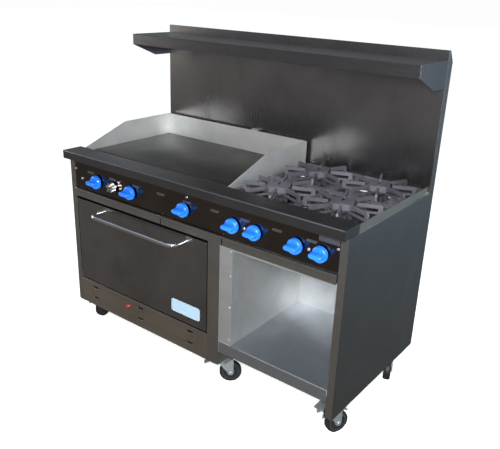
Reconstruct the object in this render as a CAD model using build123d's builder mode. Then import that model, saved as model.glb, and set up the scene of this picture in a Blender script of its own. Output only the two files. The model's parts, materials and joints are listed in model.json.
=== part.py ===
"""Commercial gas range, 60 in wide: griddle and oven left, four open burners over a cabinet right.

Millimetres. +X runs to the right, +Y to the back, +Z up. The origin is the centre of the bounding box's underside.
"""

import os
from math import cos, radians, sin, sqrt

from build123d import *

os.makedirs("parts", exist_ok=True)

# ---- Driving dimensions --------------------------------------------------------------------------
range_width = 1524.0
body_depth = 731.0
side_top_z = 889.0
backguard_top_z = 1477.0

sheet = 2.0
seam = 0.4
move_gap = 0.4
fit_gap = 0.05
door_gap = 5.0

# Handle and gas inlet set how far the range reaches in front of and behind its body.
handle_tube_r = 9.5
handle_standoff = 68.0
inlet_stub = 34.0

# Front rail
rail_overhang = 38.0
rail_behind = 66.0
rail_height = 38.0
rail_top_z = 930.0

# Front frame, doors and panels
post_width = 33.0
middle_post_x = (119.0, 183.0)
kick_top_z = 262.0
door_bottom_z = 269.0
door_top_z = 691.0
tray_bottom_z = 704.0
tray_top_z = 747.0
panel_bottom_z = 750.0

# Cabinet
cabinet_left_x = 248.0
cabinet_floor_z = 253.0
cabinet_hem = 53.0

# Oven
oven_right_x = 76.0
oven_floor_z = 300.0
oven_top_z = 680.0
rack_z = 490.0
door_pan_depth = 25.0
door_depth = 45.0
hinge_y_in = 22.0
hinge_z = 286.0
hinge_pin_r = 5.0

# Griddle
griddle_right_x = 152.0
griddle_top_z = 905.0
griddle_thickness = 19.0
griddle_front = 134.0
splash_sheet = 3.0
splash_top_z = 1014.0
splash_bend = 343.0
splash_nose_z = 918.0
trough_depth = 54.0

# Burner well and grates
rim_inset = 8.0
rim_top_z = 919.0
grate_seat_z = 899.0
grate_frame_height = 10.0
grate_top_z = 936.0
grate_bar = 12.0
grate_gap = 3.0
finger_thickness = 9.0
finger_height = 15.0
finger_gap = 10.0
hub_r = 45.0
hub_corner = 13.0
hub_height = 24.0
hub_slot = 10.0
finger_turn = 22.5

# Backguard and high shelf
backguard_thickness = 48.0
shelf_depth = 259.0
shelf_top_z = 1440.0
shelf_lip = 50.0
gusset_drop = 110.0
gusset_flat = 108.0

# Controls
control_z = 806.0
griddle_knob_x = (-565.0, -338.0, -14.0)
burner_knob_spread = 54.0
dial_x = -452.0
knob_r = 32.0
grip_width = 25.0
knob_reach = 52.0
knob_standoff = 6.0
stem_r = 4.0
manifold_r = 16.7
manifold_in = 75.0
inlet_r = 13.35
button_x = -388.0
button_z = 216.0
button_r = 8.5
label_pitch = 153.0
label_z = 841.0

# Casters
wheel_r = 50.0
wheel_width = 32.0
swivel_offset = 36.0
axle_r = 5.0
kingpin_r = 6.0
caster_side_in = 52.0
caster_middle_x = 150.0
caster_front_in = 76.0

# ---- Planes worked out from the driving dimensions -----------------------------------------------
half_width = range_width / 2
body_bottom_z = 2 * wheel_r + 30.0
griddle_left_x = -half_width + 10.0
oven_left_x = -half_width + 82.0
oven_depth = body_depth - 131.0
cabinet_depth = body_depth - 205.0
griddle_rear = body_depth - 71.0
well_rear = body_depth - 53.0
tray_depth = body_depth - 91.0
caster_side_x = half_width - caster_side_in
caster_rear_in = body_depth - 113.0
inner_x = half_width - sheet
front_reach = handle_standoff + handle_tube_r
rear_reach = body_depth + inlet_stub
front_y = (front_reach - rear_reach) / 2
back_y = front_y + body_depth
backguard_y = back_y - backguard_thickness
post_edge_x = half_width - post_width
rail_bottom_z = rail_top_z - rail_height
rail_back_y = front_y + rail_behind
door_left_x = -post_edge_x + door_gap
door_right_x = middle_post_x[0] - door_gap
cabinet_right_x = post_edge_x
cabinet_back_y = front_y + cabinet_depth
liner_front_y = front_y + door_depth + 1.0
oven_back_y = liner_front_y + oven_depth
well_left_x = griddle_right_x + 4.0
well_right_x = half_width - rim_inset - 3.0
well_front_y = rail_back_y + 2.0 + sheet
well_back_y = front_y + well_rear - sheet
grate_pitch_x = (well_right_x - well_left_x) / 2
grate_pitch_y = (well_back_y - well_front_y) / 2
grate_columns = [well_left_x + grate_pitch_x * (i + 0.5) for i in range(2)]
grate_rows = [well_front_y + grate_pitch_y * (i + 0.5) for i in range(2)]
burner_knob_x = [x + side * burner_knob_spread for x in grate_columns for side in (-1, 1)]
knob_x = list(griddle_knob_x) + burner_knob_x
stem_hole_r = stem_r + 3.0
# Name, distance right of centre, distance behind the front, trailing direction in degrees, pedal side.
casters = [
    ("front_left", -caster_side_x, caster_front_in, 100, 1),
    ("front_middle", caster_middle_x, caster_front_in, 40, -1),
    ("front_right", caster_side_x, caster_front_in, 65, 1),
    ("rear_left", -caster_side_x, caster_rear_in, -100, 0),
    ("rear_middle", caster_middle_x, caster_rear_in, -60, 0),
    ("rear_right", caster_side_x, caster_rear_in, -70, 0),
]


def slab(x0, x1, y0, y1, z0, z1, mode=Mode.ADD):
    """Adds the box between two corners to the open part."""
    with Locations(((x0 + x1) / 2, (y0 + y1) / 2, (z0 + z1) / 2)):
        Box(x1 - x0, y1 - y0, z1 - z0, mode=mode)


def rod(start, end, radius, mode=Mode.ADD):
    """Adds the round bar from one point to another to the open part."""
    axis = Vector(*end) - Vector(*start)
    with Locations(Plane(origin=start, z_dir=axis)):
        Cylinder(radius, axis.length, align=(Align.CENTER, Align.CENTER, Align.MIN), mode=mode)


def square_tube(x0, x1, y0, y1, z0, z1, wall):
    """Adds a square tube, open at both ends, whose long side runs along X or Y."""
    slab(x0, x1, y0, y1, z0, z1)
    if x1 - x0 > y1 - y0:
        slab(x0, x1, y0 + wall, y1 - wall, z0 + wall, z1 - wall, Mode.SUBTRACT)
    else:
        slab(x0 + wall, x1 - wall, y0, y1, z0 + wall, z1 - wall, Mode.SUBTRACT)


def save(part, name):
    """Labels a finished piece and writes it as its own STEP file."""
    part.label = name
    export_step(part, f"parts/{name}.step")


# ---- Base frame: square tubes with a gap where one tube is welded to the next --------------------
tube = 38.0
tube_wall = 2.5
tube_front_y = front_y + sheet + 2.0
tube_back_y = back_y - sheet
tube_top_z = body_bottom_z + tube
divider_x = middle_post_x[1]
middle_tube_x = divider_x - sheet - tube

with BuildPart() as base_frame:
    for x in (-inner_x, middle_tube_x, inner_x - tube):
        square_tube(x, x + tube, tube_front_y, tube_back_y, body_bottom_z, tube_top_z, tube_wall)
    left_bay = (-inner_x + tube + seam, middle_tube_x - seam)
    right_bay = (divider_x + seam, inner_x - tube - seam)
    for y, bay in ((tube_front_y, left_bay), (tube_back_y - tube, left_bay), (tube_back_y - tube, right_bay)):
        square_tube(bay[0], bay[1], y, y + tube, body_bottom_z, tube_top_z, tube_wall)
    slab(-inner_x, middle_tube_x + tube, tube_front_y, tube_back_y, tube_top_z + seam, tube_top_z + seam + sheet)
save(base_frame.part, "base_frame")

# ---- Body skins ----------------------------------------------------------------------------------
for side_name, side in (("left_side_panel", -1), ("right_side_panel", 1)):
    with BuildPart() as side_panel:
        outer, inner = sorted((side * half_width, side * inner_x))
        slab(outer, inner, front_y, back_y - sheet, body_bottom_z, side_top_z)
    save(side_panel.part, side_name)

gas_branch_x = divider_x - 60.0
with BuildPart() as rear_panel:
    slab(-half_width, half_width, back_y - sheet, back_y, body_bottom_z, side_top_z)
    with BuildSketch(Plane.XZ.offset(-back_y)) as rear_holes:
        with Locations((gas_branch_x, control_z)):
            Circle(inlet_r + 1.5)
        with Locations((0, side_top_z - 60)):
            with GridLocations(130, 22, 10, 2):
                SlotOverall(90, 9)
    extrude(amount=2 * sheet, both=True, mode=Mode.SUBTRACT)
save(rear_panel.part, "rear_panel")

# Three posts with the door's hinge lugs, the wall between oven and cabinet, and the bar over the oven door.
lug_depth = 38.0
lug_width = 8.0
lug_z = (kick_top_z, hinge_z + 14.0)
lug_left_x = door_left_x - 2.0 - lug_width
lug_right_x = door_right_x + 2.0
with BuildPart() as front_frame:
    for x0, x1 in ((-inner_x, -post_edge_x), (post_edge_x, inner_x)):
        slab(x0, x1, front_y, front_y + sheet, body_bottom_z, side_top_z)
    divider_top_z = tray_bottom_z - 1
    slab(middle_post_x[0], divider_x - sheet - seam, front_y, front_y + sheet, body_bottom_z, divider_top_z)
    slab(divider_x - sheet, divider_x, front_y, back_y - sheet, body_bottom_z, divider_top_z)
    for x in (lug_left_x, lug_right_x):
        slab(x, x + lug_width, front_y + sheet, front_y + sheet + lug_depth, *lug_z)
        rod(
            (x - 1, front_y + hinge_y_in, hinge_z),
            (x + lug_width + 1, front_y + hinge_y_in, hinge_z),
            hinge_pin_r + fit_gap,
            Mode.SUBTRACT,
        )
save(front_frame.part, "front_frame")

# ---- Kick panel with louvre slots and the hole for the ignition button ---------------------------
slot_columns = (-629.0, -303.0, 18.0)
slot_rows = (234.0, 176.0)
with BuildPart() as kick_panel:
    kick_left_x, kick_right_x = -post_edge_x, middle_post_x[0]
    slab(kick_left_x, kick_right_x, front_y, front_y + sheet, body_bottom_z, kick_top_z)
    with BuildSketch(Plane.XZ.offset(-front_y)) as kick_holes:
        with Locations(*[(x, z) for x in slot_columns for z in slot_rows]):
            SlotOverall(36, 10)
        with Locations((button_x, button_z)):
            Circle(button_r + move_gap)
    extrude(amount=2 * sheet, both=True, mode=Mode.SUBTRACT)
save(kick_panel.part, "kick_panel")

# ---- Control panel -------------------------------------------------------------------------------
with BuildPart() as control_panel:
    slab(-post_edge_x, post_edge_x, front_y, front_y + sheet, panel_bottom_z, side_top_z)
    with BuildSketch(Plane.XZ.offset(-front_y)) as stem_holes:
        with Locations(*[(x, control_z) for x in knob_x + [dial_x]]):
            Circle(stem_hole_r)
    extrude(amount=2 * sheet, both=True, mode=Mode.SUBTRACT)
save(control_panel.part, "control_panel")

# ---- Front rail: folded channel with a cap on each end -------------------------------------------
with BuildPart() as front_rail:
    rail_front_y = front_y - rail_overhang
    rail_end_x = inner_x - seam
    slab(-rail_end_x, rail_end_x, rail_front_y, rail_back_y, rail_bottom_z, rail_top_z)
    fillet(front_rail.edges().filter_by(Axis.X).group_by(Axis.Y)[0].sort_by(Axis.Z)[-1], 6)
    slab(
        -rail_end_x,
        rail_end_x,
        rail_front_y + sheet,
        rail_back_y - sheet,
        rail_bottom_z + sheet,
        rail_top_z - sheet,
        Mode.SUBTRACT,
    )
    slab(
        -rail_end_x, rail_end_x, front_y, rail_back_y - sheet, rail_bottom_z - 1, rail_bottom_z + sheet, Mode.SUBTRACT
    )
    for x0 in (-half_width, inner_x):
        slab(x0, x0 + sheet, rail_front_y, rail_back_y, rail_bottom_z, rail_top_z)
save(front_rail.part, "front_rail")

# ---- Name plates: nine pill-shaped labels with a rivet each, a data plate and the button's bezel -
plate_thickness = 1.0
with BuildPart() as name_plates:
    with BuildSketch(Plane.XZ.offset(-front_y)) as label_outlines:
        with Locations(*[(label_pitch * k, label_z) for k in range(-4, 5)]):
            SlotOverall(44, 11)
        with Locations((684, 866)):
            RectangleRounded(86, 26, 2)
        with Locations((button_x, button_z)):
            Circle(button_r + 4)
            Circle(button_r + 1, mode=Mode.SUBTRACT)
    extrude(amount=plate_thickness)
save(name_plates.part, "name_plates")

# ---- Screws and plugs on the front ---------------------------------------------------------------
screw_r = 4.5
panel_screws = [(-722, label_z), (0, 863), (722, label_z)]
plug_places = [(-678, 800)] + [(x, 806) for x in grate_columns]
flange_screws = [(240, z) for z in (687, 579, 434, 278)]
with BuildPart() as screws:
    with BuildSketch(Plane.XZ.offset(-front_y)) as panel_heads:
        with Locations(*panel_screws):
            Circle(screw_r)
        with Locations(*plug_places):
            Circle(6)
    extrude(amount=2.4)
    with BuildSketch(Plane.XZ.offset(-front_y - 1)) as flange_heads:
        with Locations(*flange_screws):
            Circle(screw_r)
    extrude(amount=2.4)
    chamfer(screws.faces().filter_by(Axis.Y).group_by(Axis.Y)[0].edges(), 0.8)
save(screws.part, "screws")

# ---- Knobs with their valve stems ----------------------------------------------------------------
valve_front = 14.0
stem_end = 30.0
knob_names = ["griddle_left", "griddle_middle", "griddle_right"]
knob_names += ["burner_front_left", "burner_rear_left", "burner_front_right", "burner_rear_right"]
stem_in_knob = 20.0

for name, x in zip(knob_names, knob_x):
    knob_plane = Plane((x, front_y - knob_standoff, control_z), x_dir=(1, 0, 0), z_dir=(0, -1, 0))
    with BuildPart() as knob:
        with BuildSketch(knob_plane) as skirt:
            Circle(knob_r)
        extrude(amount=16, taper=5)
        with BuildSketch(knob_plane.offset(12)) as grip:
            SlotOverall(2 * knob_r - 4, grip_width)
        extrude(amount=knob_reach - knob_standoff - 12, taper=5)
        fillet(knob.faces().sort_by(Axis.Y)[0].edges(), 3)
        with BuildSketch(knob_plane) as stem_socket:
            Circle(stem_r + fit_gap)
        extrude(amount=stem_in_knob, mode=Mode.SUBTRACT)
        rod(
            (x, front_y - knob_standoff - stem_in_knob + 0.5, control_z),
            (x, front_y + stem_end, control_z),
            stem_r,
        )
    save(knob.part, f"knob_{name}")

with BuildPart() as oven_dial:
    dial_plane = Plane((dial_x, front_y - knob_standoff, control_z), x_dir=(1, 0, 0), z_dir=(0, -1, 0))
    with BuildSketch(dial_plane) as dial_base:
        Circle(24)
    extrude(amount=5)
    with BuildSketch(dial_plane.offset(5)) as dial_star:
        Circle(12)
        with PolarLocations(16, 5, start_angle=18):
            Circle(6.5)
    extrude(amount=20)
    fillet(oven_dial.faces().sort_by(Axis.Y)[0].edges(), 2)
    with BuildSketch(dial_plane) as dial_socket:
        Circle(stem_r + fit_gap)
    extrude(amount=stem_in_knob, mode=Mode.SUBTRACT)
    rod(
        (dial_x, front_y - knob_standoff - stem_in_knob + 0.5, control_z),
        (dial_x, front_y + stem_end, control_z),
        stem_r,
    )
save(oven_dial.part, "oven_dial")

# ---- Gas manifold, branch to the rear inlet, and the drop line to the oven -----------------------
manifold_y = front_y + manifold_in
manifold_wall = 3.4
drop_x = -inner_x + 20.0
oven_burner_z = 210.0
oven_burner_x = (oven_left_x + oven_right_x) / 2
with BuildPart() as gas_manifold:
    manifold_end_x = inner_x - 6.0
    pipe_plane = Plane((-manifold_end_x, manifold_y, control_z), x_dir=(0, 1, 0), z_dir=(1, 0, 0))
    with BuildSketch(pipe_plane) as manifold_section:
        Circle(manifold_r)
        Circle(manifold_r - manifold_wall, mode=Mode.SUBTRACT)
    extrude(amount=2 * manifold_end_x)
    branch_y = manifold_y + manifold_r + seam
    branch_plane = Plane((gas_branch_x, branch_y, control_z), x_dir=(1, 0, 0), z_dir=(0, 1, 0))
    inlet_start_y = back_y - sheet - 2.0
    with BuildSketch(branch_plane) as branch_section:
        Circle(manifold_r)
        Circle(inlet_r - manifold_wall, mode=Mode.SUBTRACT)
    extrude(amount=inlet_start_y - branch_y + 1)
    with BuildSketch(branch_plane.offset(inlet_start_y - branch_y)) as inlet_section:
        Circle(inlet_r)
        Circle(inlet_r - manifold_wall, mode=Mode.SUBTRACT)
    extrude(amount=back_y + inlet_stub - inlet_start_y)
    rod(
        (drop_x, manifold_y, control_z - manifold_r - seam),
        (drop_x, manifold_y, oven_burner_z + 20 + seam),
        7,
    )
save(gas_manifold.part, "gas_manifold")

# ---- Valves behind every control, and the oven's safety valve ------------------------------------
with BuildPart() as gas_controls:
    for x in knob_x + [dial_x]:
        rod((x, front_y + valve_front, control_z), (x, front_y + 32, control_z), 10)
        slab(x - 14, x + 14, front_y + 31, front_y + 54, control_z - 13, control_z + 13)
        rod((x, front_y + 53, control_z), (x, manifold_y, control_z), 8)
        rod((x, front_y, control_z), (x, front_y + stem_end + 1, control_z), stem_r + fit_gap, Mode.SUBTRACT)
    rod(
        (-half_width, manifold_y, control_z),
        (half_width, manifold_y, control_z),
        manifold_r,
        Mode.SUBTRACT,
    )
    slab(drop_x - 18, drop_x + 18, manifold_y - 22, manifold_y + 22, oven_burner_z - 22, oven_burner_z + 20)
save(gas_controls.part, "gas_controls")

# ---- Pipe burners: three under the griddle, one under the oven floor -----------------------------
pipe_r = 15.0
griddle_burner_z = 846.0
with BuildPart() as pipe_burners:
    griddle_span = griddle_right_x - griddle_left_x
    for k in range(3):
        x = griddle_left_x + griddle_span * (k + 0.5) / 3
        burner_y0 = front_y + griddle_front + 10
        burner_y1 = front_y + griddle_rear - 30
        for dx in (-60, 60):
            rod((x + dx, burner_y0, griddle_burner_z), (x + dx, burner_y1, griddle_burner_z), pipe_r)
        rod((x - 60, burner_y0 + 40, griddle_burner_z), (x + 60, burner_y0 + 40, griddle_burner_z), pipe_r - 2)
        rod((x - 60, burner_y1 - 20, griddle_burner_z), (x + 60, burner_y1 - 20, griddle_burner_z), pipe_r - 2)
    rod(
        (drop_x + 18 + seam, manifold_y, oven_burner_z),
        (oven_burner_x, manifold_y, oven_burner_z),
        7,
    )
    rod(
        (oven_burner_x, manifold_y - 8, oven_burner_z),
        (oven_burner_x, oven_back_y - 60, oven_burner_z),
        pipe_r + 3,
    )
save(pipe_burners.part, "pipe_burners")

# ---- Griddle plate with its grease trough --------------------------------------------------------
plate_x0 = griddle_left_x + splash_sheet
plate_x1 = griddle_right_x - splash_sheet
trough_y0 = rail_back_y + 4.0
plate_y0 = front_y + griddle_front
plate_y1 = front_y + griddle_rear - splash_sheet
with BuildPart() as griddle_plate:
    slab(plate_x0, plate_x1, plate_y0, plate_y1, griddle_top_z - griddle_thickness, griddle_top_z)
    chamfer(griddle_plate.edges().filter_by(Axis.X).group_by(Axis.Z)[-1].sort_by(Axis.Y)[0], 4)
    with Locations((plate_x0 + 22, plate_y1 - 22, griddle_top_z)):
        Hole(5)
    trough_z0 = griddle_top_z - trough_depth
    slab(plate_x0, plate_x1, trough_y0, plate_y0 - seam, trough_z0, griddle_top_z - 4)
    slab(
        plate_x0 + sheet,
        plate_x1 - sheet,
        trough_y0 + sheet,
        plate_y0 - seam - sheet,
        trough_z0 + sheet,
        griddle_top_z,
        Mode.SUBTRACT,
    )
save(griddle_plate.part, "griddle_plate")

# ---- Splash guard: two tapered side plates, a rear plate and the clip that ties it to the backguard 
with BuildPart() as griddle_splash:
    splash_front_y = rail_back_y + 4.0
    splash_rear_y = front_y + griddle_rear
    splash_bottom_z = griddle_top_z - griddle_thickness
    for x in (griddle_left_x, griddle_right_x - splash_sheet):
        with BuildSketch(Plane.YZ.offset(x)) as splash_side:
            with BuildLine() as splash_outline:
                Polyline(
                    (splash_front_y, splash_bottom_z),
                    (splash_front_y, splash_nose_z),
                    (front_y + splash_bend, splash_top_z),
                    (splash_rear_y, splash_top_z),
                    (splash_rear_y, splash_bottom_z),
                    close=True,
                )
            make_face()
        extrude(amount=splash_sheet)
    slab(
        plate_x0 + seam,
        plate_x1 - seam,
        splash_rear_y - splash_sheet,
        splash_rear_y,
        splash_bottom_z,
        splash_top_z,
    )
    clip_x = -163.0
    slab(clip_x - 18, clip_x + 18, splash_rear_y - splash_sheet, backguard_y, splash_top_z + seam, splash_top_z + 4)
save(griddle_splash.part, "griddle_splash")

# ---- Burner well: walls, rim, ledges and the cross bars that carry the grates --------------------
ledge = 12.0
ledge_top_z = grate_seat_z - move_gap
well_bottom_z = 852.0
with BuildPart() as burner_well:
    rim_x1 = half_width - rim_inset
    slab(well_right_x, rim_x1, well_front_y - sheet, backguard_y, well_bottom_z, rim_top_z)
    slab(well_left_x - sheet, well_left_x, well_front_y - sheet, backguard_y, well_bottom_z, ledge_top_z)
    for y0 in (well_front_y - sheet, well_back_y):
        slab(well_left_x + seam, well_right_x - seam, y0, y0 + sheet, well_bottom_z, ledge_top_z)
    centre_x = (well_left_x + well_right_x) / 2
    centre_y = (well_front_y + well_back_y) / 2
    bar_z = (ledge_top_z - 8, ledge_top_z)
    slab(well_left_x + seam, well_left_x + ledge, well_front_y + seam, well_back_y - seam, *bar_z)
    slab(well_right_x - ledge, well_right_x - seam, well_front_y + seam, well_back_y - seam, *bar_z)
    slab(centre_x - ledge, centre_x + ledge, well_front_y + seam, well_back_y - seam, *bar_z)
    for x0, x1 in (
        (well_left_x + ledge + seam, centre_x - ledge - seam),
        (centre_x + ledge + seam, well_right_x - ledge - seam),
    ):
        slab(x0, x1, centre_y - ledge, centre_y + ledge, *bar_z)
    slab(rim_x1 + seam, inner_x, rail_back_y + seam, backguard_y, side_top_z - sheet, side_top_z)
    slab(-inner_x, griddle_left_x - seam, rail_back_y + seam, backguard_y, side_top_z - sheet, side_top_z)
save(burner_well.part, "burner_well")

# ---- Burner heads with their mixing tubes --------------------------------------------------------
head_r = 30.0
arm_r = 46.0
head_z = (872.0, 892.0)
mixer_z = 840.0
mixer_r = 13.0
mixer_gap = 4.8
throat_r = 18.0
with BuildPart() as burner_heads:
    for column, head_x in enumerate(grate_columns):
        for row, head_y in enumerate(grate_rows):
            with BuildSketch(Plane.XY.offset(head_z[0])) as head_star:
                with Locations((head_x, head_y)):
                    Circle(head_r)
                    with PolarLocations(arm_r / 2, 8):
                        SlotOverall(arm_r, 12)
            extrude(amount=head_z[1] - head_z[0])
            with Locations((head_x, head_y, head_z[1])):
                Cone(throat_r, 12, 6, align=(Align.CENTER, Align.CENTER, Align.MIN))
            rod((head_x, head_y, mixer_z - 16), (head_x, head_y, head_z[0] + 1), throat_r)
            valve_x = burner_knob_x[2 * column + row]
            mixer_start = Vector(valve_x, front_y + 112, mixer_z)
            mixer_end = Vector(head_x, head_y, mixer_z)
            mixer_run = mixer_end - mixer_start
            mixer_stop = mixer_end - mixer_run.normalized() * (throat_r + mixer_gap)
            rod(tuple(mixer_start), tuple(mixer_stop), mixer_r)
save(burner_heads.part, "burner_heads")

# ---- Four lift-off grates ------------------------------------------------------------------------
grate_x = grate_pitch_x - grate_gap
grate_y = grate_pitch_y - grate_gap
web_z = (grate_seat_z, grate_seat_z + 9.0)
hub_diagonal = (2 * hub_r - hub_corner) / sqrt(2)
finger_angles = [finger_turn + 45 * k for k in range(8)]


def finger_end(angle):
    """Gives the distance from a grate's centre to the middle of its frame bar, along one finger."""
    across = (grate_x - grate_bar) / 2 / max(abs(cos(radians(angle))), 0.01)
    deep = (grate_y - grate_bar) / 2 / max(abs(sin(radians(angle))), 0.01)
    return min(across, deep)


for name, x, y in (
    ("grate_front_left", grate_columns[0], grate_rows[0]),
    ("grate_front_right", grate_columns[1], grate_rows[0]),
    ("grate_rear_left", grate_columns[0], grate_rows[1]),
    ("grate_rear_right", grate_columns[1], grate_rows[1]),
):
    with BuildPart() as grate:
        with BuildSketch(Plane((x, y, grate_seat_z))) as grate_frame:
            RectangleRounded(grate_x, grate_y, 14)
            RectangleRounded(grate_x - 2 * grate_bar, grate_y - 2 * grate_bar, 8, mode=Mode.SUBTRACT)
        extrude(amount=grate_frame_height)
        for k, angle in enumerate(finger_angles):
            reach = finger_end(angle)
            start = finger_gap + (hub_diagonal if k % 2 else hub_r)
            outward = Vector(cos(radians(angle)), sin(radians(angle)), 0)
            finger_plane = Plane((x, y, 0), x_dir=outward, z_dir=outward.cross(Vector(0, 0, 1)))
            with BuildSketch(finger_plane) as finger:
                with BuildLine() as finger_outline:
                    Polyline(
                        (hub_r / 2, web_z[0]),
                        (hub_r / 2, web_z[1]),
                        (reach - 18, web_z[1]),
                        (reach - 18, grate_top_z - finger_height),
                        (start + 6, grate_top_z - finger_height),
                        (start, grate_top_z - finger_height + 5),
                        (start, grate_top_z),
                        (reach - 5, grate_top_z),
                        (reach, grate_top_z - 6),
                        (reach, web_z[0]),
                        close=True,
                    )
                make_face()
            extrude(amount=finger_thickness / 2, both=True)
        with BuildSketch(Plane((x, y, grate_top_z - hub_height))) as hub:
            with PolarLocations(0, 1, start_angle=finger_turn):
                Rectangle(2 * hub_r, 2 * hub_r)
            chamfer(hub.vertices(), hub_corner)
            with PolarLocations(hub_r / 2, 1, start_angle=finger_turn + 90):
                Rectangle(hub_r + 2, hub_slot, mode=Mode.SUBTRACT)
            with PolarLocations(hub_r, 1, start_angle=finger_turn - 90):
                Rectangle(16, hub_slot, mode=Mode.SUBTRACT)
        extrude(amount=hub_height)
        with BuildSketch(Plane((x, y, web_z[0]))) as hub_ring:
            Circle(hub_r / 2 + 4)
            Circle(hub_r / 2 - 4, mode=Mode.SUBTRACT)
        extrude(amount=grate_top_z - hub_height - web_z[0] + 1)
    save(grate.part, name)

# ---- Trays that pull out under the control panel -------------------------------------------------
tray_wall = 1.5
tray_lip = 12.0
tray_floor_z = tray_bottom_z + 3.0
for name, x0, x1 in (
    ("crumb_tray", -post_edge_x + 4, -157.0),
    ("grease_drawer", -151.0, 191.0),
    ("burner_tray", 197.0, post_edge_x - 3),
):
    with BuildPart() as tray:
        slab(x0, x1, front_y - 3, front_y - 1, tray_bottom_z, tray_top_z)
        slab(x0, x1, front_y - 3 - tray_lip, front_y - 3, tray_top_z - 2, tray_top_z)
        slab(x0, x1, front_y - 3 - tray_lip, front_y - 1 - tray_lip, tray_top_z - 9, tray_top_z - 2)
        slab(x0 + 4, x1 - 4, front_y - 1, front_y + tray_depth, tray_floor_z, tray_top_z - 6)
        slab(
            x0 + 4 + tray_wall,
            x1 - 4 - tray_wall,
            front_y - 1 + tray_wall,
            front_y + tray_depth - tray_wall,
            tray_floor_z + tray_wall,
            tray_top_z,
            Mode.SUBTRACT,
        )
    save(tray.part, name)

# ---- Backguard: sheet with folded sides and top --------------------------------------------------
with BuildPart() as backguard:
    slab(-half_width, half_width, backguard_y, backguard_y + sheet, side_top_z, backguard_top_z)
    slab(-half_width, half_width, backguard_y, backguard_y + 14, backguard_top_z - sheet, backguard_top_z)
    for x in (-half_width, inner_x):
        with BuildSketch(Plane.YZ.offset(x)) as side_flange:
            with BuildLine() as flange_outline:
                Polyline(
                    (backguard_y, side_top_z),
                    (backguard_y, backguard_top_z),
                    (backguard_y + 14, backguard_top_z),
                    (back_y, backguard_top_z - 46),
                    (back_y, side_top_z),
                    close=True,
                )
            make_face()
        extrude(amount=sheet)
    slab(-half_width, half_width, back_y - sheet, back_y, side_top_z, side_top_z + 60)
save(backguard.part, "backguard")

# ---- High shelf with a gusset at each end --------------------------------------------------------
shelf_front_y = backguard_y - shelf_depth
with BuildPart() as high_shelf:
    shelf_end_x = inner_x - seam
    slab(-shelf_end_x, shelf_end_x, shelf_front_y, backguard_y, shelf_top_z - sheet, shelf_top_z)
    slab(
        -shelf_end_x,
        shelf_end_x,
        shelf_front_y,
        shelf_front_y + sheet,
        shelf_top_z - shelf_lip,
        shelf_top_z - sheet - seam,
    )
    for x in (-half_width, inner_x):
        with BuildSketch(Plane.YZ.offset(x)) as gusset:
            with BuildLine() as gusset_outline:
                Polyline(
                    (shelf_front_y, shelf_top_z),
                    (shelf_front_y, shelf_top_z - shelf_lip),
                    (backguard_y - gusset_flat, shelf_top_z - gusset_drop),
                    (backguard_y, shelf_top_z - gusset_drop),
                    (backguard_y, shelf_top_z),
                    close=True,
                )
            make_face()
        extrude(amount=sheet)
save(high_shelf.part, "high_shelf")

# ---- Oven liner: separate sheets for floor, sides, top and back, and the frame that the door closes on 
with BuildPart() as oven_liner:
    face_y = liner_front_y + sheet
    slab(oven_left_x - sheet, oven_left_x, face_y + seam, oven_back_y, oven_floor_z, oven_top_z)
    slab(oven_right_x, oven_right_x + sheet, face_y + seam, oven_back_y, oven_floor_z, oven_top_z)
    slab(
        oven_left_x - sheet,
        oven_right_x + sheet,
        face_y + seam,
        oven_back_y,
        oven_top_z + seam,
        oven_top_z + seam + sheet,
    )
    slab(
        oven_left_x - sheet,
        oven_right_x + sheet,
        face_y + seam,
        oven_back_y,
        oven_floor_z - seam - sheet,
        oven_floor_z - seam,
    )
    slab(
        oven_left_x - sheet,
        oven_right_x + sheet,
        oven_back_y + seam,
        oven_back_y + seam + sheet,
        oven_floor_z - 40,
        oven_top_z + sheet,
    )
    frame_left_x = -post_edge_x - 10
    frame_right_x = middle_post_x[0] + 6
    frame_bottom_z = lug_z[1] + 2
    for x0, x1 in ((frame_left_x, oven_left_x), (oven_right_x, frame_right_x)):
        slab(x0, x1, liner_front_y, face_y, frame_bottom_z, oven_top_z - seam)
    slab(frame_left_x, frame_right_x, liner_front_y, face_y, oven_top_z, tray_bottom_z - 2)
    slab(
        oven_left_x,
        oven_right_x,
        liner_front_y,
        face_y,
        kick_top_z,
        oven_floor_z - seam,
    )
save(oven_liner.part, "oven_liner")

# ---- Oven rack on its side guides ----------------------------------------------------------------
rack_rod_r = 3.5
rack_wire_r = 2.0
rack_wires = 21
with BuildPart() as oven_rack:
    rack_x0 = oven_left_x + 8
    rack_x1 = oven_right_x - 8
    rack_y0 = liner_front_y + 20
    rack_y1 = oven_back_y - 20
    guide_top_z = rack_z - rack_rod_r - seam
    for x0, x1 in ((oven_left_x, oven_left_x + 16), (oven_right_x - 16, oven_right_x)):
        slab(x0, x1, rack_y0, rack_y1, guide_top_z - 3, guide_top_z)
    for x in (rack_x0 + 4, rack_x1 - 4):
        rod((x, rack_y0, rack_z), (x, rack_y1, rack_z), rack_rod_r)
    for y in (rack_y0 + 6, rack_y1 - 6):
        rod((rack_x0 + 4, y, rack_z), (rack_x1 - 4, y, rack_z), rack_rod_r)
    wire_pitch = (rack_x1 - rack_x0 - 24) / (rack_wires - 1)
    for k in range(rack_wires):
        x = rack_x0 + 12 + wire_pitch * k
        rod((x, rack_y0 + 6, rack_z), (x, rack_y1 - 6, rack_z), rack_wire_r)
save(oven_rack.part, "oven_rack")

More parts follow.
